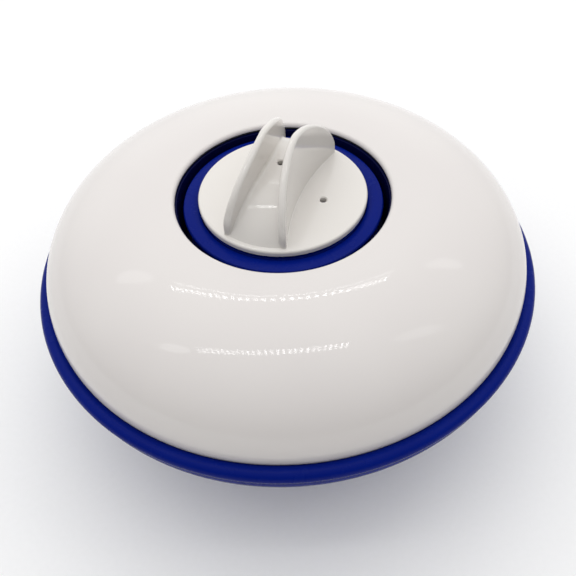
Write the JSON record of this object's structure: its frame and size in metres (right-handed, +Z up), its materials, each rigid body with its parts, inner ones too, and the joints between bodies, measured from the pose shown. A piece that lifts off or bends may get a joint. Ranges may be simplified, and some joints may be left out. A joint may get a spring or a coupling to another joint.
{
  "type": "floating chlorine dispenser",
  "caption": "Domed round pool float with a recessed push-and-turn lid and a ballasted tablet canister with a turning flow sleeve below.",
  "frame": {"origin": "centre of the canister's flat foot, which is the bottom of the whole object", "axes": "+Z up along the axis of the float and the canister; the grip on the lid runs along Y"},
  "size_m": [0.27, 0.27, 0.1707],
  "materials": {
    "white_gloss": "polished moulded ABS, white",
    "lid_white": "moulded ABS, warm white",
    "blue_gloss": "satin-gloss moulded plastic, deep blue",
    "navy_satin": "satin moulded plastic, dark navy",
    "white_matt": "natural moulded polypropylene",
    "seal_rubber": "matt black rubber",
    "ballast_iron": "rough cast",
    "stainless": "plain stainless"
  },
  "bodies": {
    "float": {"dome_shell": "white_gloss", "base_shell": "blue_gloss", "neck_tube": "navy_satin", "rim_gasket": "seal_rubber", "neck_gasket": "seal_rubber", "neck_collar": "blue_gloss", "collar_gasket": "seal_rubber", "retaining_nut": "blue_gloss", "tablet_basket": "white_matt", "tablet_grate": "white_matt", "sleeve_friction_ring": "seal_rubber", "ballast_weight": "ballast_iron", "ballast_cap": "blue_gloss", "cap_screw_1": "stainless", "cap_screw_2": "stainless", "cap_screw_3": "stainless", "cap_screw_4": "stainless"},
    "sleeve": {"flow_sleeve": "blue_gloss"},
    "lid_seal": {"lid_gasket": "seal_rubber"},
    "plug": {"inner_cap": "blue_gloss", "lid_spring": "stainless"},
    "lid_plate": {"lid": "lid_white"}
  },
  "joints": [
    {"name": "flow_turn", "type": "hinge", "parent": "float", "child": "sleeve", "pos_m": [0, 0, 0.036], "axis": [0, 0, 1], "range_deg": [0, 45]},
    {"name": "lid_lift", "type": "slide", "parent": "float", "child": "lid_seal", "axis": [0, 0, 1], "range_m": [0, 0.05]},
    {"name": "lid_turn", "type": "hinge", "parent": "lid_seal", "child": "plug", "pos_m": [0, 0, 0.12], "axis": [0, 0, 1], "range_deg": [0, 50]},
    {"name": "lid_press", "type": "slide", "parent": "plug", "child": "lid_plate", "axis": [0, 0, -1], "range_m": [0, 0.0012], "stiffness_N_per_m": 1500, "springref_m": -0.001, "deforming": ["lid_spring"]}
  ]
}
